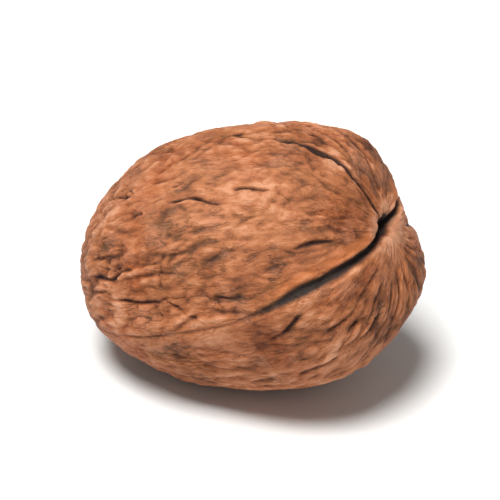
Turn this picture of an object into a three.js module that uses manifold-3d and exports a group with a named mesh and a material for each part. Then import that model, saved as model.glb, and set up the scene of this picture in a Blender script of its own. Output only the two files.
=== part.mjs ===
// One whole walnut in its shell, lying on the small flat spot under its lower cheek.
// Millimetres, +Z up. The origin is under the middle of the nut, on the surface it lies on.
//
// The nut's own axes, before it is laid down: +X runs to the stem end, where the seam opens in a pit,
// -X runs to the pointed tip, +Z and -Z are the two cheeks, and the seam lies in the XY plane.
import * as THREE from "three";
import { mergeVertices } from "three/addons/utils/BufferGeometryUtils.js";
import Module from "manifold-3d";

// The body: half sizes along the nut's own axes, and how square its ends are (2 is an ellipsoid)
const halfLength = 21.2;
const halfSeam = 15.4; // middle out to the seam
const halfCheek = 16.1; // middle out to a cheek
const squareness = 2.4;
const stemFullness = 0.05; // the stem half is fuller than the tip half, as a share of the radius
const lowerFullness = 0.07; // and the lower cheek is fuller towards the stem end

// Broad swells and hollows that make its shape a little uneven, as a grown thing is: the middle of each by
// its angle from the stem end and its turn round the nut, in degrees, its reach in radians, and its height.
// The turn is 0 at the -Y seam, 90 on the upper cheek, 180 at the +Y seam and 270 on the lower cheek.
const swells = [
  { fromStem: 28, turn: 185, reach: 0.3, height: -1 },
  { fromStem: 28, turn: 245, reach: 0.3, height: 0.9 },
  { fromStem: 38, turn: 150, reach: 0.35, height: 1 },
  { fromStem: 50, turn: 330, reach: 0.5, height: 0.9 },
  { fromStem: 95, turn: 300, reach: 0.6, height: 0.9 },
  { fromStem: 110, turn: 85, reach: 0.6, height: -0.25 },
  { fromStem: 140, turn: 330, reach: 0.5, height: -0.25 },
];

// The two ends
const recessDepth = 1.9; // the shoulders stand this far past the bottom of the stem pit
const recessAlongSeam = 0.46; // the pit is a trough along the seam, measured in radians from the axis
const recessAcrossSeam = 0.32;
const tipHeight = 1.3;
const tipAngle = 0.16;

// The seam: a low raised band with a groove along its middle, deepest at the stem end
const bandHeight = 0.45;
const bandWidth = 2.6;
const grooveDepth = 0.35;
const grooveWidth = 1.1;
const stemGrooveDepth = 1.2; // added to the groove at the stem end
const stemGrooveAngle = 0.7;
const seamBow = 1.4; // the near seam bows up towards the upper cheek, most at bowPlace from the stem end
const bowPlace = 0.66; // in radians, as is its reach
const bowReach = 0.42;

// Low lumps all over, and furrows that run from end to end
const lumpHeight = 0.22;
const furrowDepth = 0.45;
const furrowWidth = 1.3;
const furrowEnd = 0.35; // the furrows fade out this close to the ends, in radians
const furrowTurns = [28, 58, 91, 120, 146, 208, 236, 300, 334]; // where they run, as turns in degrees

// How it lies: the stem end is raised, and the seam is rolled a little towards -Y
const tilt = THREE.MathUtils.degToRad(25.2);
const roll = THREE.MathUtils.degToRad(4.2);
const flatDepth = 0.8; // taken off the lowest point to make the flat spot

// The grid: rings from the stem end to the tip, and lines round the nut, closer together by the seam
const rings = 38;
const lines = 80;
const crowding = 0.27;

const bell = (distance, width) => Math.exp(-((distance / width) ** 2));

// The direction at an angle from the stem end and a turn round the nut, both in radians
function direction(fromStem, turn) {
  const reach = Math.sin(fromStem);
  return new THREE.Vector3(Math.cos(fromStem), -reach * Math.cos(turn), reach * Math.sin(turn));
}

// A squared ellipsoid, as the distance from its middle in one direction
function bodyRadius(d) {
  const along = Math.abs(d.x / halfLength) ** squareness;
  const across = Math.hypot(d.y / halfSeam, d.z / halfCheek) ** squareness;
  const fuller = 1 + stemFullness * d.x - lowerFullness * d.x * d.z;
  return (along + across) ** (-1 / squareness) * fuller;
}

// All the swells together, each a bell over the angle from its middle
function swellShape(d) {
  let height = 0;
  for (const swell of swells) {
    const fromStem = THREE.MathUtils.degToRad(swell.fromStem);
    const turn = THREE.MathUtils.degToRad(swell.turn);
    height += swell.height * bell(d.angleTo(direction(fromStem, turn)), swell.reach);
  }
  return height;
}

// The stem pit and the tip, by angle from each end of the axis
function endShape(d) {
  const fromTip = Math.acos(Math.min(1, -d.x));
  const tip = tipHeight * Math.exp(-fromTip / tipAngle);
  if (d.x < 0) return tip;
  return tip - recessDepth * bell(d.y, recessAlongSeam) * bell(d.z, recessAcrossSeam);
}

// The seam's band and groove, by distance from the seam's plane, which the near seam strays from in its bow
function seamShape(d, radius) {
  const fromStem = Math.acos(Math.min(1, d.x));
  const bow = d.y < 0 ? seamBow * bell(fromStem - bowPlace, bowReach) : 0;
  const aside = d.z * radius - bow;
  const depth = grooveDepth + stemGrooveDepth * bell(fromStem, stemGrooveAngle);
  return bandHeight * bell(aside, bandWidth) - depth * bell(aside, grooveWidth);
}

// Low lumps: three slow waves in different directions
function lumpShape(d) {
  const first = Math.sin(4.1 * d.x + 2.3 * d.y + 0.7);
  const second = Math.sin(3.7 * d.y - 4.4 * d.z + 2.1);
  const third = Math.sin(5.2 * d.z + 3.1 * d.x + 4.0);
  return (lumpHeight * (first + second + third)) / 1.5;
}

// Furrows along the nut, each wandering a little as it goes
function furrowShape(d, radius) {
  const round = Math.atan2(d.z, -d.y);
  const fromStem = Math.acos(Math.max(-1, Math.min(1, d.x)));
  const fromAxis = radius * Math.sin(fromStem);
  const fade = Math.min(1, Math.min(fromStem, Math.PI - fromStem) / furrowEnd);
  let depth = 0;
  furrowTurns.forEach((degrees, i) => {
    const wander = 0.06 * Math.sin(3 * fromStem + 1.7 * i);
    const turn = round - THREE.MathUtils.degToRad(degrees) - wander;
    const aside = Math.atan2(Math.sin(turn), Math.cos(turn)) * fromAxis;
    depth = Math.max(depth, bell(aside, furrowWidth));
  });
  return -furrowDepth * depth * fade;
}

// One point of the surface
function nutPoint(fromStem, turn) {
  const d = direction(fromStem, turn);
  const body = bodyRadius(d);
  const broad = swellShape(d) + endShape(d) + lumpShape(d);
  return d.multiplyScalar(body + broad + seamShape(d, body) + furrowShape(d, body));
}

function nutGeometry() {
  const points = [nutPoint(0, 0)];
  for (let ring = 1; ring < rings; ring++) {
    for (let line = 0; line < lines; line++) {
      const even = (2 * Math.PI * line) / lines;
      points.push(nutPoint((Math.PI * ring) / rings, even - crowding * Math.sin(2 * even)));
    }
  }
  points.push(nutPoint(Math.PI, 0));
  const last = points.length - 1;
  const faces = [];
  for (let line = 0; line < lines; line++) {
    const next = (line + 1) % lines;
    faces.push(0, 1 + next, 1 + line);
    for (let ring = 0; ring < rings - 2; ring++) {
      const near = 1 + ring * lines;
      const far = near + lines;
      faces.push(near + line, near + next, far + line);
      faces.push(near + next, far + next, far + line);
    }
    const end = 1 + (rings - 2) * lines;
    faces.push(end + line, end + next, last);
  }
  const geometry = new THREE.BufferGeometry().setFromPoints(points);
  return geometry.setIndex(faces);
}

// Turns the nut as it lies, with its middle over the origin and its lowest point flatDepth below it
function layDown(geometry) {
  const turn = new THREE.Euler(roll, -tilt, 0, "YXZ");
  geometry.applyMatrix4(new THREE.Matrix4().makeRotationFromEuler(turn));
  geometry.computeBoundingBox();
  const middle = geometry.boundingBox.getCenter(new THREE.Vector3());
  return geometry.translate(-middle.x, -middle.y, -geometry.boundingBox.min.z - flatDepth);
}

const wasm = await Module();
wasm.setup();

function toSolid(geometry) {
  const vertProperties = new Float32Array(geometry.getAttribute("position").array);
  const triVerts = new Uint32Array(geometry.index.array);
  return new wasm.Manifold(new wasm.Mesh({ numProp: 3, vertProperties, triVerts }));
}

function toGeometry(solid) {
  const made = solid.getMesh();
  const geometry = new THREE.BufferGeometry();
  geometry.setAttribute("position", new THREE.BufferAttribute(made.vertProperties, 3));
  geometry.setIndex(new THREE.BufferAttribute(made.triVerts, 1));
  geometry.computeVertexNormals();
  return geometry;
}

// Everything under z = 0 is worn away, which leaves the flat spot
function wearFlat(geometry) {
  const side = 6 * halfLength;
  const below = new THREE.BoxGeometry(side, side, side).translate(0, 0, -side / 2);
  below.deleteAttribute("normal");
  below.deleteAttribute("uv");
  return toGeometry(toSolid(geometry).subtract(toSolid(mergeVertices(below))));
}

const shell = new THREE.MeshStandardMaterial({ color: 0xb0724f, roughness: 0.62, metalness: 0 });
const walnut = new THREE.Mesh(wearFlat(layDown(nutGeometry())), shell);
walnut.name = "walnut";

const part = new THREE.Group();
part.add(walnut);
export default part;
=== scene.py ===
import math

import bpy
import numpy as np
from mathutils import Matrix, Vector


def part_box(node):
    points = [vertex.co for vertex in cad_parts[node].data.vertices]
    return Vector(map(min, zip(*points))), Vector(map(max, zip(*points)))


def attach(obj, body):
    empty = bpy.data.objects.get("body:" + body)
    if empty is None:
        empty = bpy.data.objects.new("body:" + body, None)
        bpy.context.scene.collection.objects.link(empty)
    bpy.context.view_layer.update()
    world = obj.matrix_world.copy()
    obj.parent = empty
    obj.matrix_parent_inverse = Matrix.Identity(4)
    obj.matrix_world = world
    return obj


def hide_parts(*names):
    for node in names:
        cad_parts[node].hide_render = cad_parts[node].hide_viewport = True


# A whole walnut in its shell, about 42 mm long, on the flat spot under its lower cheek.
# Two angles place everything on it. fromStem is 0 at the stem end and 180 degrees at the tip. turn goes
# round the nut: 0 at the near seam, 90 on the upper cheek, 180 at the far seam, 270 on the lower cheek.
# Lengths are in millimetres until the mesh is made.

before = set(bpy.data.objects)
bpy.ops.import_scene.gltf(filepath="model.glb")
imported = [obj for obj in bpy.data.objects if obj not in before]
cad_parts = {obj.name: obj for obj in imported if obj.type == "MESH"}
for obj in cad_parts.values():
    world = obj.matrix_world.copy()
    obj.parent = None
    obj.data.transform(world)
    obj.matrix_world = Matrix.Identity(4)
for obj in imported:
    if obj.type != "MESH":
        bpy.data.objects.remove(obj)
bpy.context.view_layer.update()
mm = 0.001
mmPerRadian = 19             # of the surface along the nut, on average

body = {
    "halfLength": 21.2,
    "halfSeam": 15.4,        # middle out to the seam
    "halfCheek": 16.1,       # middle out to a cheek
    "squareness": 2.4,       # 2 is an ellipsoid
    "stemFullness": 0.05,    # the stem half is fuller than the tip half
    "lowerFullness": 0.07,   # and the lower cheek is fuller towards the stem
    "pitDepth": 1.9,         # the stem pit, a trough along the seam
    "pitAlongSeam": 0.46,
    "pitAcrossSeam": 0.32,
    "tipHeight": 1.3,
    "tipAngle": 0.16,
    "lumpHeight": 0.22,
    "tilt": 25.2,            # degrees that the stem end is raised
    "roll": 4.2,             # degrees that the near seam is rolled down
    "rings": 167,            # from stem to tip, and lines round the nut: 196,680 triangles
    "lines": 596,
}

# Broad swells and hollows: fromStem and turn of the middle in degrees, reach in radians, height in mm
swells = [
    (28, 185, 0.3, -1.0),
    (28, 245, 0.3, 0.9),
    (38, 150, 0.35, 1.0),
    (50, 330, 0.5, 0.9),
    (95, 300, 0.6, 0.9),
    (110, 85, 0.6, -0.25),
    (140, 330, 0.5, -0.25),
]

seam = {
    "bandHeight": 0.45,      # the low raised band that both lips stand on
    "bandWidth": 2.6,
    "bow": 1.4,              # how far the near seam bows up towards the upper cheek
    "bowPlace": 0.66,        # the middle of the bow and its reach, in radians from the stem
    "bowReach": 0.42,
    "wander": 0.12,          # how far the groove strays elsewhere
    "wanderRate": 3.1,       # rates are in waves per body radius
    "openWidth": ((0.1, 0.9), (0.55, 0.74)),  # radians from the stem, then mm at each
    "openDepth": ((0.1, 1.1), (1.2, 0.55)),
    "closes": (0.72, 1.25),  # the open part narrows to the faint one between these, in radians
    "edgePower": 2.2,        # how steep the groove's sides are
    "ragged": 0.22,          # how far its width comes and goes, as a share
    "raggedRate": 11,
    "brokenRate": 6.3,       # how fast its depth comes and goes
    "faintWidth": 0.24,
    "faintDepth": 0.2,
    "holeLength": 2.5,
    "holeWidth": 1.15,
    "holeRise": 0.45,        # the hole's middle is a little above the seam
    "holeDepth": 1.9,
    "chipSize": 1.3,         # its edge is chipped
    "chipHeight": 0.7,
    "grooveShade": 0.7,      # how dark the groove's painted shade is, where the hole's is 1
    "lipRise": 1.3,          # a painted highlight along the upper lip, this far above the groove
    "lipWidth": 0.9,
    "smoothWidth": 0.9,      # this close to the groove, both lips are smoother
    "smoothShare": 0.6,      # by this share of the wrinkles
}

wrinkles = {
    "barrelRadius": 16,      # the nut opened into a barrel, which carries the wrinkles
    "barrelEnds": 0.42,      # how wide its ends are, as a share
    "barrelRun": 17,         # mm along it for each radian from the stem
    "endPower": 0.6,         # how fast the wrinkles get lower where they narrow
    "swellSize": 7.0,        # soft swells between the furrows
    "swellHeight": 0.45,
    "creaseSize": 2.9,       # between the main creases, across the nut
    "creaseHeight": 0.52,
    "middleSize": 1.5,
    "middleHeight": 0.26,
    "fineSize": 0.75,
    "fineHeight": 0.15,
    "stretch": 3.4,          # the main creases are this much longer along the nut than across it
    "fineStretch": 2.1,      # and the smaller ones this much
    "swirl": 1.3,            # how far wrinkles stray from the straight, over swirlSize
    "swirlSize": 7.0,
    "smallSwirl": 0.35,
    "smallSwirlSize": 2.2,
    "pitSize": 2.1,          # spacing of the small round pits
    "pitRadius": 0.38,
    "pitDepth": 0.26,
    "pitShare": 0.3,         # of the places that have one
    "flakeSize": 1.4,        # thin scales of shell, each a little higher or lower than the next
    "flakeHeight": 0.1,
    "flakeEdge": 0.3,        # how soft their edges are
    "grainSize": 0.4,
    "grainHeight": 0.05,
    "scarSize": 1.4,         # rough knobs round the stem pit, where the stalk came off
    "scarHeight": 0.32,
    "scarAngle": 0.36,
    "calmPlace": (80, 350),  # a smoother patch by the seam, as degrees from the stem and turn
    "calmReach": 0.32,       # in radians
    "calmShare": 0.6,        # how much of the relief it loses
    "topLightPlace": (70, 56),  # painted light: the paler patch in the middle of the upper cheek, which faces up
    "topLightReach": 0.5,
}

# The main furrows: their middles as (degrees from the stem, turn), then width and depth in mm
furrows = [
    ([(-8, 84), (20, 86), (27, 93), (42, 95), (58, 96)], 0.3, 0.8),  # the crack down the upper cheek
    ([(24, 91), (30, 94), (42, 95), (55, 96)], 0.44, 0.75),  # which gapes at its top
    ([(50, 96), (64, 96), (80, 99)], 0.25, 0.34),
    ([(63, 55), (81, 59), (95, 62)], 0.25, 0.5),
    ([(46, 61), (64, 60)], 0.25, 0.48),
    ([(25, 28), (42, 28)], 0.28, 0.46),
    ([(112, 33), (128, 32), (143, 34)], 0.26, 0.46),
    ([(102, 14), (114, 18), (132, 19)], 0.26, 0.42),
    ([(45, 355), (54, 351), (64, 346)], 0.32, 0.5),
    ([(45, 323), (54, 325), (67, 321)], 0.26, 0.4),
    ([(62, 12), (77, 12)], 0.32, 0.46),  # two lines that the open seam splits into
    ([(58, 1), (69, 4), (79, 8)], 0.38, 0.46),
    ([(66, 101), (78, 95)], 0.34, 0.45),
    ([(105, 57), (114, 58)], 0.36, 0.45),
    ([(33, 330), (40, 331)], 0.32, 0.4),
    ([(29, 319), (36, 320)], 0.32, 0.35),
    ([(111, 70), (124, 73), (135, 78)], 0.26, 0.38),
    ([(12, 344), (30, 341), (52, 336)], 0.26, 0.26),  # these fan out from the stem end
    ([(16, 330), (32, 326), (44, 322)], 0.24, 0.22),
    ([(13, 315), (36, 308), (60, 303)], 0.28, 0.32),
    ([(9, 303), (24, 300), (46, 293), (66, 289)], 0.3, 0.34),
    ([(13, 287), (32, 281), (54, 274)], 0.26, 0.3),
    ([(10, 268), (30, 258)], 0.28, 0.26),
    ([(8, 246), (28, 238)], 0.28, 0.26),
    ([(10, 46), (40, 42)], 0.28, 0.2),
    ([(8, 62), (34, 68)], 0.26, 0.2),
    ([(8, 122), (40, 126), (70, 118)], 0.34, 0.38),
    ([(20, 150), (50, 152), (80, 143)], 0.34, 0.36),
    ([(8, 214), (36, 204), (64, 206)], 0.34, 0.36),
    ([(10, 244), (50, 236), (90, 242)], 0.32, 0.36),
    ([(100, 118), (134, 114), (168, 128)], 0.34, 0.38),
    ([(96, 150), (130, 156), (170, 156)], 0.32, 0.36),
    ([(92, 208), (140, 198), (170, 204)], 0.34, 0.38),
    ([(104, 236), (136, 230), (168, 232)], 0.32, 0.36),
    ([(118, 322), (150, 326), (172, 334)], 0.32, 0.34),
    ([(110, 92), (140, 94), (170, 86)], 0.32, 0.36),
]

scratches = {
    "seed": 31,
    "count": 190,
    "length": (1.5, 7.0),
    "slant": 7,              # degrees of turn from start to end
    "width": (0.14, 0.28),
    "depth": (0.06, 0.32),
}


def smoothStep(low, high, x):
    # 0 below low, 1 above high, and 3t^2 - 2t^3 between
    t = np.clip((x - low) / (high - low), 0, 1)
    return t * t * (3 - 2 * t)


def bell(x, width):
    # e to the minus (x / width) squared
    return np.exp(-((x / width) ** 2))


def scramble(cell, order):
    # one number from 0 to 255 for each whole-numbered cell, always the same for the same cell
    first = order[cell[..., 0] & 255]
    second = order[(first + cell[..., 1]) & 255]
    return order[(second + cell[..., 2]) & 255]


def cloudNoise(points, seed):
    # At each corner of a point's unit cell, a fixed random slope times the way from that corner, blended by
    # the curve 6t^5 - 15t^4 + 10t^3. Runs from about -1 to 1.
    random = np.random.default_rng(seed)
    order = random.permutation(256)
    slopes = random.normal(size=(256, 3))
    slopes /= np.linalg.norm(slopes, axis=1, keepdims=True)
    base = np.floor(points).astype(int)
    inside = points - base
    fade = inside**3 * (inside * (inside * 6 - 15) + 10)
    total = np.zeros(points.shape[:-1])
    for corner in np.ndindex(2, 2, 2):
        step = np.array(corner)
        slope = slopes[scramble(base + step, order)]
        share = np.prod(np.where(step == 1, fade, 1 - fade), axis=-1)
        total += share * np.sum(slope * (inside - step), axis=-1)
    return total * 1.6


def cellNoise(points, seed):
    # One random spot in every unit cell: the distances to the nearest spot and the next, and a random number
    # from 0 to 1 that belongs to the nearest
    random = np.random.default_rng(seed)
    order = random.permutation(256)
    places = random.random((256, 3))
    values = random.random(256)
    base = np.floor(points).astype(int)
    nearest = np.full(points.shape[:-1], 9.0)
    second = nearest.copy()
    value = np.zeros_like(nearest)
    for corner in np.ndindex(3, 3, 3):
        cell = base + np.array(corner) - 1
        pick = scramble(cell, order)
        distance = np.linalg.norm(points - cell - places[pick], axis=-1)
        second = np.minimum(second, np.maximum(distance, nearest))
        value = np.where(distance < nearest, values[pick], value)
        nearest = np.minimum(distance, nearest)
    return nearest, second, value


def bodyRadius(d):
    # Distance to a squared ellipsoid along direction d: (|x/a|^p + |yz/b|^p)^(-1/p), fuller at the stem end
    b, p = body, body["squareness"]
    along = np.abs(d[..., 0] / b["halfLength"]) ** p
    across = np.hypot(d[..., 1] / b["halfSeam"], d[..., 2] / b["halfCheek"]) ** p
    fuller = 1 + b["stemFullness"] * d[..., 0] - b["lowerFullness"] * d[..., 0] * d[..., 2]
    return (along + across) ** (-1 / p) * fuller


def direction(fromStem, turn):
    # The unit vector at an angle from the stem end and a turn round the nut, both in radians
    reach = np.sin(fromStem)
    return np.stack([np.cos(fromStem), -reach * np.cos(turn), reach * np.sin(turn)], axis=-1)


def patchShare(d, place, reach):
    # A bell over the angle from a place, given as degrees from the stem and turn
    middle = direction(*np.radians(place))
    return bell(np.arccos(np.clip(d @ middle, -1, 1)), reach)


def swellRelief(d):
    # Each swell's patch times its height, all added up
    height = np.zeros(d.shape[:-1])
    for fromStem, turn, reach, rise in swells:
        height += rise * patchShare(d, (fromStem, turn), reach)
    return height


def endRelief(d):
    # A sharp rise at the tip, and at the stem a trough: a bell along the seam times a bell across it
    fromTip = np.arccos(np.clip(-d[..., 0], -1, 1))
    tip = body["tipHeight"] * np.exp(-fromTip / body["tipAngle"])
    pit = bell(d[..., 1], body["pitAlongSeam"]) * bell(d[..., 2], body["pitAcrossSeam"])
    return tip - body["pitDepth"] * pit * (d[..., 0] > 0)


def lumpRelief(d):
    # Three slow sine waves in different directions
    first = np.sin(4.1 * d[..., 0] + 2.3 * d[..., 1] + 0.7)
    second = np.sin(3.7 * d[..., 1] - 4.4 * d[..., 2] + 2.1)
    third = np.sin(5.2 * d[..., 2] + 3.1 * d[..., 0] + 4.0)
    return body["lumpHeight"] * (first + second + third) / 1.5


def seamRelief(d, radius, fromStem):
    # A bell-shaped band along the seam, less a groove with steep sides. The groove is deep and narrow at
    # the stem, widens along the nut, and closes to a faint line past the middle. On the near side it bows up
    # by a bell over the angle from the stem. A hole with a ragged edge opens at the stem itself. Returns the
    # relief, the groove's share from 0 to 1, the painted shade of the open groove and the hole, the share of
    # the painted highlight along the upper lip, and the distance from the groove's middle.
    s = seam
    up = d[..., 2] * radius
    stray = cloudNoise(d * s["wanderRate"], 5) * s["wander"] * smoothStep(0.1, 0.6, fromStem)
    bow = bell(fromStem - s["bowPlace"], s["bowReach"]) * smoothStep(0.05, 0.2, fromStem) * (d[..., 1] < 0)
    stray -= s["bow"] * bow
    aside = np.abs(up + stray)
    openness = 1 - smoothStep(*s["closes"], fromStem)
    width = s["faintWidth"] + (np.interp(fromStem, *s["openWidth"]) - s["faintWidth"]) * openness
    width = width * (1 + s["ragged"] * cloudNoise(d * s["raggedRate"], 7))
    broken = np.clip(0.65 + 0.5 * cloudNoise(d * s["brokenRate"], 6), 0.1, 1)
    openDepth = np.interp(fromStem, *s["openDepth"]) * openness * (0.85 + 0.3 * broken)
    depth = openDepth + s["faintDepth"] * broken
    groove = np.exp(-((aside / width) ** s["edgePower"]))
    chip = s["chipHeight"] * cloudNoise(d * radius[..., None] / s["chipSize"], 8)
    hole = bell(d[..., 1] * radius + chip, s["holeLength"]) * bell(up - s["holeRise"] + chip, s["holeWidth"])
    hole = hole * (d[..., 0] > 0)
    relief = s["bandHeight"] * bell(aside, s["bandWidth"]) - depth * groove - s["holeDepth"] * hole
    # a painted highlight along the upper lip, above the open groove
    lip = bell(up + stray - s["lipRise"], s["lipWidth"]) * openness * smoothStep(0.1, 0.25, fromStem)
    # painted shade: the open groove drawn dark and the stem hole darkest
    dark = np.maximum(s["grooveShade"] * groove * openness, smoothStep(0.15, 0.7, hole))
    return relief, groove, dark, lip, aside


def furrowDepth(fromStem, turn, radius, line, seed):
    # Depth of one furrow. Its middle runs straight from point to point, with a small sine wander. Across, it
    # is like a bell of its width; along, it tapers to both ends and its depth comes and goes.
    middles, width, depth = line
    starts, turns = np.radians(middles).T
    along = (fromStem - starts[0]) / (starts[-1] - starts[0])
    length = (starts[-1] - starts[0]) * mmPerRadian
    middle = np.interp(fromStem, starts, turns) + 0.02 * np.sin(along * length * 0.9 + seed)
    off = np.angle(np.exp(1j * (turn - middle)))
    aside = off * radius * np.sin(fromStem)
    taper = smoothStep(0, 0.2, along) * smoothStep(0, 0.25, 1 - along)
    uneven = 0.86 + 0.14 * np.sin(along * length * 1.7 + 2.1 * seed)
    return depth * taper * uneven * np.exp(-np.abs(aside / width) ** 1.7)


def randomScratches():
    # Short furrows anywhere on the nut, spread evenly over its surface and nearly in line with it
    random = np.random.default_rng(scratches["seed"])
    lines = []
    for i in range(scratches["count"]):
        start = math.degrees(math.acos(random.uniform(-0.93, 0.95)))
        length = random.uniform(*scratches["length"]) * random.uniform(0.5, 1.0)
        end = start + math.degrees(length / mmPerRadian)
        turn = random.uniform(0, 360)
        slant = random.normal(0, scratches["slant"])
        size = random.random() ** 1.5
        width = np.interp(size, (0, 1), scratches["width"])
        depth = np.interp(size, (0, 1), scratches["depth"])
        lines.append(([(start, turn), (end, turn + slant)], width, depth))
    return lines


def crumple(points, seed):
    # Cloud noise without its sign, so that a crease lies wherever the noise passes through zero
    return np.abs(cloudNoise(points, seed))


def wrinkleRelief(grain, d):
    # Creases at three sizes, between about -0.6 and 0.4 of their height. Soft swells are plain cloud noise,
    # pits are small bells in some cells, and flakes are cells with a random height each. Returns the relief
    # and the flakes.
    w = wrinkles
    swirl = np.stack([cloudNoise(grain / w["swirlSize"] + 11.3, s) for s in (21, 22, 23)], axis=-1)
    smallSwirl = np.stack([cloudNoise(grain / w["smallSwirlSize"] + 3.1, s) for s in (41, 42, 43)], axis=-1)
    bent = grain + w["swirl"] * swirl + w["smallSwirl"] * smallSwirl
    short = bent * (1, 1, w["stretch"] / w["fineStretch"])
    rough = smoothStep(-0.4, 0.4, cloudNoise(d * 2.6, 24))  # some patches are smoother
    middleRough = smoothStep(-0.4, 0.4, cloudNoise(d * 4.4, 33))
    crease = np.minimum(crumple(bent / w["creaseSize"], 25) * 2.0, 1) ** 0.85
    middle = np.minimum(crumple(short / w["middleSize"], 27) * 2.1, 1) ** 0.85
    fine = np.minimum(crumple(short / w["fineSize"], 26) * 2.2, 1)
    spot, _, chance = cellNoise(short / w["pitSize"], 29)
    inPit = bell(spot * w["pitSize"], w["pitRadius"]) * (chance < w["pitShare"])
    nearest, second, flake = cellNoise(bent / w["flakeSize"] + 5.7, 31)
    flake = 0.5 + (flake - 0.5) * smoothStep(0, w["flakeEdge"], second - nearest)
    relief = w["swellHeight"] * cloudNoise(bent / w["swellSize"], 32)
    relief += w["creaseHeight"] * (crease - 0.6) * (0.4 + 0.6 * rough)
    relief += w["middleHeight"] * (middle - 0.6) * (0.45 + 0.55 * middleRough)
    relief += w["fineHeight"] * (fine - 0.6) * (0.5 + 0.5 * rough)
    relief -= w["pitDepth"] * inPit
    relief += w["flakeHeight"] * (flake - 0.5)
    return relief + w["grainHeight"] * cloudNoise(short / w["grainSize"], 30), flake


def spread(field, passes):
    # Each pass averages a point with its neighbours along and round the nut
    for _ in range(passes):
        field = (np.roll(field, 1, 1) + 2 * field + np.roll(field, -1, 1)) / 4
        ended = np.concatenate([field[:1], field, field[-1:]])
        field = (ended[:-2] + 2 * field + ended[2:]) / 4
    return field


def layDown(points):
    # Turns the nut as it lies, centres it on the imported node's box with their tops level, and wears away
    # what is below the surface it lies on
    tilt, roll = math.radians(body["tilt"]), math.radians(body["roll"])
    x, y, z = points[..., 0], points[..., 1], points[..., 2]
    y, z = y * math.cos(roll) - z * math.sin(roll), y * math.sin(roll) + z * math.cos(roll)
    x, z = x * math.cos(tilt) - z * math.sin(tilt), x * math.sin(tilt) + z * math.cos(tilt)
    turned = np.stack([x, y, z], axis=-1)
    low, high = turned.min(axis=0), turned.max(axis=0)
    cadLow, cadHigh = (np.array(corner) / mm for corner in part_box("walnut"))
    shift = (cadLow + cadHigh - low - high) / 2
    shift[2] = cadHigh[2] - high[2]
    placed = turned + shift
    placed[:, 2] = np.maximum(placed[:, 2], 0)
    return placed


# The colour guides that the mesh carries
shade = {
    "hollowPasses": 30,      # a hollow is judged against its surroundings, averaged this many times
    "hollowRange": 0.8,      # mm from the darkest hollow to the palest ridge
    "crackDepth": 0.42,      # mm at which a furrow's painted shade is full
}


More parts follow.
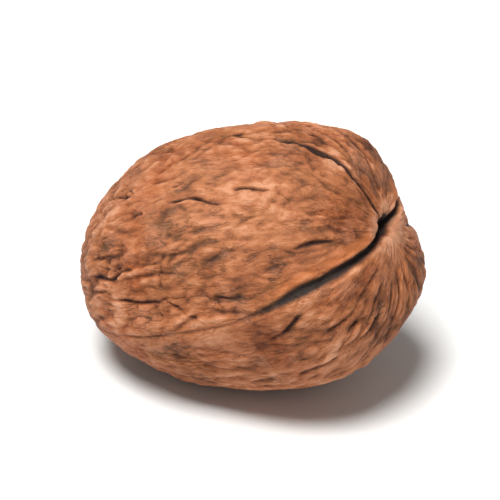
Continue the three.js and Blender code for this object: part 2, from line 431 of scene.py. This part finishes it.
def buildNut():
    # A grid of rings from stem to tip and lines round the nut, with one point at each end. Each point is its
    # direction times the body's radius plus all the relief.
    rings, lines = body["rings"], body["lines"]
    fromStem = np.linspace(0, np.pi, rings)[1:-1, None] * np.ones((1, lines))
    turn = np.linspace(0, 2 * np.pi, lines, endpoint=False)[None, :] * np.ones((rings - 2, 1))
    reach = np.sin(fromStem)
    d = direction(fromStem, turn)
    radius = bodyRadius(d)

    # Grain points: the nut opened into a barrel, so that patterns narrow towards both ends
    w = wrinkles
    barrel = w["barrelRadius"] * (w["barrelEnds"] + (1 - w["barrelEnds"]) * reach)
    run = w["barrelRun"] * fromStem / w["stretch"]
    grain = np.stack([barrel * np.cos(turn), barrel * np.sin(turn), run], axis=-1)

    print("relief: seam, furrows and wrinkles")
    seamHeight, inSeam, openSeam, lip, aside = seamRelief(d, radius, fromStem)
    cut = np.zeros_like(radius)
    for i, line in enumerate(furrows + randomScratches()):
        cut = np.maximum(cut, furrowDepth(fromStem, turn, radius, line, i))
    clear = 1 - seam["smoothShare"] * bell(aside, seam["smoothWidth"])
    clear *= 1 - w["calmShare"] * patchShare(d, w["calmPlace"], w["calmReach"])
    ends = (reach * w["barrelRadius"] / barrel) ** w["endPower"]
    pastEnds = smoothStep(0.03, 0.12, reach)
    cut *= clear * pastEnds
    scar = np.abs(cloudNoise(d * radius[..., None] / w["scarSize"], 51)) - 0.3
    scar *= w["scarHeight"] * bell(fromStem, w["scarAngle"]) * pastEnds
    wrinkle, flake = wrinkleRelief(grain, d)
    relief = seamHeight + wrinkle * clear * ends - cut + scar
    height = radius + swellRelief(d) + endRelief(d) + lumpRelief(d) + relief

    # How far each point stands above or below what is round it, as a colour guide from 0 to 1. It paints
    # shade into the hollows and a highlight onto the ridges.
    cavity = np.clip(0.5 + (relief - spread(relief, shade["hollowPasses"])) / shade["hollowRange"], 0, 1)
    # painted shade in the furrows and scratches, full where they are deepest
    crack = np.clip(cut / shade["crackDepth"], 0, 1)
    # painted light: the top of the upper cheek drawn paler
    rubbed = patchShare(d, w["topLightPlace"], w["topLightReach"])

    grid = d * height[..., None]
    points = np.concatenate([grid[:1].mean(axis=1), grid.reshape(-1, 3), grid[-1:].mean(axis=1)])
    placed = layDown(points)

    # Quads between rings, and a fan of triangles to each end point
    index = 1 + np.arange((rings - 2) * lines).reshape(rings - 2, lines)
    after = np.roll(index, -1, axis=1)
    quads = np.stack([index[:-1], after[:-1], after[1:], index[1:]], axis=-1).reshape(-1, 4)
    last = len(points) - 1
    stemFan = np.stack([np.zeros(lines, int), after[0], index[0]], axis=-1)
    tipFan = np.stack([np.full(lines, last), index[-1], after[-1]], axis=-1)
    mesh = bpy.data.meshes.new("walnut_shell")
    mesh.from_pydata((placed * mm).tolist(), [], stemFan.tolist() + quads.tolist() + tipFan.tolist())
    mesh.polygons.foreach_set("use_smooth", np.ones(len(mesh.polygons), bool))

    # each guide's values, then what it is at the stem's end point and the tip's
    guides = {
        "cavity": (cavity, 0, 0.6),
        "openSeam": (openSeam, 1, 0),
        "faintSeam": (inSeam, 1, 0.5),
        "lip": (lip, 0, 0),
        "crack": (crack, 0, 0),
        "rubbed": (rubbed, 0, 0),
        "flake": (flake, 0.5, 0.5),
    }
    for name, (values, atStem, atTip) in guides.items():
        every = np.concatenate([[atStem], values.ravel(), [atTip]]).astype(np.float32)
        mesh.attributes.new(name, "FLOAT", "POINT").data.foreach_set("value", every)
    every = np.concatenate([grain[:1, 0], grain.reshape(-1, 3), grain[-1:, 0]]).astype(np.float32)
    mesh.attributes.new("grain", "FLOAT_VECTOR", "POINT").data.foreach_set("vector", every.ravel())
    mesh.update()
    nut = bpy.data.objects.new("walnut_shell", mesh)
    bpy.context.scene.collection.objects.link(nut)
    return nut


def fromHex(code):
    # an sRGB hex colour as linear light: ((c + 0.055) / 1.055)^2.4 above the foot of the curve
    parts = [int(code[i:i + 2], 16) / 255 for i in (1, 3, 5)]
    return [c / 12.92 if c <= 0.04045 else ((c + 0.055) / 1.055) ** 2.4 for c in parts] + [1]


def addNode(tree, kind, settings, links):
    # One node, with its settings by socket or property name, a ramp's stops, and its incoming links
    added = tree.nodes.new(kind)
    for name, value in settings.items():
        sockets = [s for s in added.inputs if name in (s.identifier, s.name)]
        if name == "stops":
            ramp = added.color_ramp
            while len(ramp.elements) < len(value):
                ramp.elements.new(0.5)
            for element, (place, code) in zip(ramp.elements, value):
                element.position = place
                element.color = fromHex(code)
        elif sockets:
            sockets[0].default_value = value
        else:
            setattr(added, name, value)
    for name, source in links.items():
        tree.links.new(source, next(s for s in added.inputs if name in (s.identifier, s.name)))
    return added


look = {
    "tones": [(0.0, "#28120A"), (0.25, "#593019"), (0.44, "#884D2B"), (0.62, "#A86740"), (0.85, "#C28967")],
    # what darkens or lightens the tone besides the hollows, and how much
    "toneParts": {
        "streak": 0.34, "fibre": 0.3, "flake": 0.14, "patch": 1.0, "vein": -0.25, "fineVein": -0.14,
    },
    # each layer: what it follows, where that starts and ends, the most it covers, and its colour
    "layers": [
        ("warmPatch", 0.5, 0.72, 0.5, "#A24A14"),     # skin left on
        ("olivePatch", 0.52, 0.75, 0.35, "#865A30"),  # weathered
        ("blotch", 0.5, 0.72, 0.5, "#BA8160"),        # brushed bare
        ("rubbed", 0.0, 1.0, 0.17, "#CC9069"),        # painted light on top of the upper cheek
        ("lip", 0.2, 0.9, 0.45, "#BE6C38"),           # painted highlight where light catches the upper lip
        # painted shade in the furrows and scratches
        ("crack", 0.35, 0.95, 0.95, "#26110A"),
        ("faintSeam", 0.4, 1.0, 0.3, "#2C170E"),
        # painted shade: dark grey-brown in the open groove, near-black in the stem hole
        ("openSeam", 0.12, 0.5, 1.0, "#2B211D"),
        ("openSeam", 0.72, 0.9, 1.0, "#0B0706"),
    ],
    # each cloud: what it follows, the grain in mm or the object in metres, then its scale and how many
    # finer layers it has
    "clouds": {
        "streak": ("grain", 1.6, 3),       # 0.6 mm across, and longer along the nut
        "fibre": ("grain", 5.0, 3),        # 0.2 mm
        "patch": ("object", 110, 2),       # 9 mm
        "warmPatch": ("object", 150, 3),   # 7 mm
        "olivePatch": ("grain", 0.35, 3),  # 3 mm
        "blotch": ("object", 300, 3),      # 3 mm
        "tooth": ("object", 3200, 4),      # 0.3 mm
    },
    # veins: their spacing in mm across the nut, and how wide they are as a share of it
    "veins": {"vein": (2.4, 0.07), "fineVein": (1.0, 0.1)},
    "veinBend": 5.0,         # mm
    "bumpParts": {"tooth": 0.9, "vein": -0.9, "fineVein": -0.5, "streak": 0.6},
    "bumpStrength": 0.65,
    "bumpDistance": 0.00022,  # in metres
    "roughness": (0.5, 0.75),  # on the ridges and in the hollows
    "gloss": 0.25,           # half that of clean wood, as dust dulls it
    "ior": 1.5,
}


def dryWalnutShell():
    # Walnut shell, a hard woody stone, dried and brushed clean. It gives a dull tan with a faint sheen on
    # the ridges, painted shade that darkens the wrinkles to red-brown, and fibres that run from end to end.
    material = bpy.data.materials.new("dried_brushed_walnut_shell")
    material.use_nodes = True
    tree = material.node_tree
    tree.nodes.clear()
    guides = {}
    for name in ("cavity", "openSeam", "faintSeam", "lip", "crack", "flake", "rubbed"):
        guides[name] = addNode(tree, "ShaderNodeAttribute", {"attribute_name": name}, {}).outputs["Fac"]
    grain = addNode(tree, "ShaderNodeAttribute", {"attribute_name": "grain"}, {}).outputs["Vector"]
    place = addNode(tree, "ShaderNodeTexCoord", {}, {}).outputs["Object"]
    for name, (follows, scale, detail) in look["clouds"].items():
        cloud = addNode(tree, "ShaderNodeTexNoise", {"Scale": scale, "Detail": detail, "Roughness": 0.6},
                        {"Vector": grain if follows == "grain" else place})
        guides[name] = cloud.outputs["Fac"]

    # veins: thin lines between stretched cells, bent by a cloud 3 mm across, that fade out here and there
    bend = addNode(tree, "ShaderNodeTexNoise", {"Scale": 0.35, "Detail": 4, "Roughness": 0.65},
                   {"Vector": grain})
    reach = (look["veinBend"],) * 3
    bent = addNode(tree, "ShaderNodeVectorMath", {"operation": "MULTIPLY_ADD", "Vector_001": reach},
                   {"Vector": bend.outputs["Color"], "Vector_002": grain})
    comesAndGoes = addNode(tree, "ShaderNodeMapRange", {"From Min": 0.4, "From Max": 0.6},
                           {"Value": guides["blotch"]})
    for name, (size, width) in look["veins"].items():
        cells = addNode(tree, "ShaderNodeTexVoronoi", {"feature": "DISTANCE_TO_EDGE", "Scale": 1 / size},
                        {"Vector": bent.outputs[0]})
        line = addNode(tree, "ShaderNodeMapRange", {"From Min": width, "From Max": 0.0},
                       {"Value": cells.outputs["Distance"]})
        vein = addNode(tree, "ShaderNodeMath", {"operation": "MULTIPLY"},
                       {"Value": line.outputs[0], "Value_001": comesAndGoes.outputs[0]})
        guides[name] = vein.outputs[0]

    def addUp(total, parts):
        # the total, plus each part times its gain
        for name, gain in parts.items():
            more = addNode(tree, "ShaderNodeMath", {"operation": "MULTIPLY_ADD", "Value_001": gain},
                           {"Value": guides[name], "Value_002": total})
            total = more.outputs[0]
        return total

    # the clouds and flakes are 0.5 in the middle, so half their gains come off to leave the tone centred
    # the relief guide starts the tone: painted shade in the hollows, a painted highlight on the ridges
    tone = addUp(guides["cavity"], look["toneParts"])
    middle = sum(gain for gain in look["toneParts"].values() if gain > 0) / 2
    centred = addNode(tree, "ShaderNodeMath",
                      {"operation": "SUBTRACT", "Value_001": middle, "use_clamp": True}, {"Value": tone})
    ramp = addNode(tree, "ShaderNodeValToRGB", {"stops": look["tones"]}, {"Fac": centred.outputs[0]})

    colour = ramp.outputs["Color"]
    for name, start, end, most, code in look["layers"]:
        share = addNode(tree, "ShaderNodeMapRange", {"From Min": start, "From Max": end, "To Max": most},
                        {"Value": guides[name]})
        mixed = addNode(tree, "ShaderNodeMix", {"data_type": "RGBA", "B_Color": fromHex(code)},
                        {"Factor_Float": share.outputs[0], "A_Color": colour})
        colour = mixed.outputs[2]

    # fibres, a fine tooth, streaks and the veins, as bump
    height = addUp(guides["fibre"], look["bumpParts"])
    bump = addNode(tree, "ShaderNodeBump",
                   {"Strength": look["bumpStrength"], "Distance": look["bumpDistance"]}, {"Height": height})

    # worn ridges are a little smoother than the dusty hollows
    ridge, hollow = look["roughness"]
    rough = addNode(tree, "ShaderNodeMapRange", {"To Min": hollow, "To Max": ridge},
                    {"Value": centred.outputs[0]})
    shader = addNode(tree, "ShaderNodeBsdfPrincipled",
                     {"IOR": look["ior"], "Specular IOR Level": look["gloss"]},
                     {"Base Color": colour, "Roughness": rough.outputs[0], "Normal": bump.outputs["Normal"]})
    addNode(tree, "ShaderNodeOutputMaterial", {}, {"Surface": shader.outputs["BSDF"]})
    return material


studio = {
    "azimuth": 22.4,         # degrees round from the front, towards the stem end
    "elevation": 33.0,
    "lens": 250.0,
    "distance": 0.425,
    "floorSize": 8.0,
    "floorColour": "#DCDCDA",
    "worldStrength": 0.26,
    "horizonStrength": 1.05,  # a pale band at the horizon
    "horizonHeight": (0.05, 0.12),  # it fades between these, as sines of the angle above the horizon
    "sunStrength": 4.85,
    "sunSoftness": 25.0,     # its angular size in degrees, as of a large soft box
    "sunPlace": (-0.05, -0.22, 0.72),
    "fillWatts": 0.3,
    "fillSize": 0.6,
    "fillPlace": (0.6, -0.4, 0.4),
}


def aim(thing, target):
    thing.rotation_mode = "QUATERNION"
    thing.rotation_quaternion = (target - thing.location).to_track_quat("-Z", "Y")


def buildStudio():
    low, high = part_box("walnut")
    middle = (low + high) / 2
    scene = bpy.context.scene
    scene.view_settings.view_transform = "Standard"

    half = studio["floorSize"] / 2
    mesh = bpy.data.meshes.new("floor")
    drop = 0.05 * mm  # just under the nut, so the two don't share a plane
    corners = [(-half, -half, -drop), (half, -half, -drop), (half, half, -drop), (-half, half, -drop)]
    mesh.from_pydata(corners, [], [(0, 1, 2, 3)])
    floor = bpy.data.objects.new("floor", mesh)
    scene.collection.objects.link(floor)
    paper = bpy.data.materials.new("matt_white_paper")
    paper.use_nodes = True
    shader = paper.node_tree.nodes["Principled BSDF"]
    shader.inputs["Base Color"].default_value = fromHex(studio["floorColour"])
    shader.inputs["Roughness"].default_value = 0.9
    mesh.materials.append(paper)

    scene.world = bpy.data.worlds.new("soft_white_room")
    scene.world.use_nodes = True
    tree = scene.world.node_tree
    background = tree.nodes["Background"]
    background.inputs["Color"].default_value = (1, 1, 1, 1)
    way = addNode(tree, "ShaderNodeTexCoord", {}, {}).outputs["Generated"]
    rise = addNode(tree, "ShaderNodeSeparateXYZ", {}, {"Vector": way}).outputs["Z"]
    start, end = studio["horizonHeight"]
    brightness = {"To Min": studio["horizonStrength"], "To Max": studio["worldStrength"]}
    strength = addNode(tree, "ShaderNodeMapRange", {"From Min": start, "From Max": end, **brightness},
                       {"Value": rise})
    tree.links.new(strength.outputs[0], background.inputs["Strength"])

    sun = bpy.data.lights.new("key", "SUN")
    sun.energy = studio["sunStrength"]
    sun.angle = math.radians(studio["sunSoftness"])
    box = bpy.data.lights.new("fill", "AREA")
    box.energy = studio["fillWatts"]
    box.size = studio["fillSize"]
    for lamp, spot in ((sun, studio["sunPlace"]), (box, studio["fillPlace"])):
        light = bpy.data.objects.new(lamp.name, lamp)
        light.location = spot
        scene.collection.objects.link(light)
        aim(light, middle)

    azimuth, elevation = math.radians(studio["azimuth"]), math.radians(studio["elevation"])
    level = Vector((math.sin(azimuth), -math.cos(azimuth), 0)) * math.cos(elevation)
    camera = bpy.data.objects.new("camera", bpy.data.cameras.new("camera"))
    camera.data.lens = studio["lens"]
    camera.location = middle + studio["distance"] * (level + Vector((0, 0, math.sin(elevation))))
    scene.collection.objects.link(camera)
    aim(camera, middle)
    scene.camera = camera


print("nut")
nut = buildNut()
nut.data.materials.append(dryWalnutShell())
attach(nut, "root")
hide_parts("walnut")

print("studio")
buildStudio()
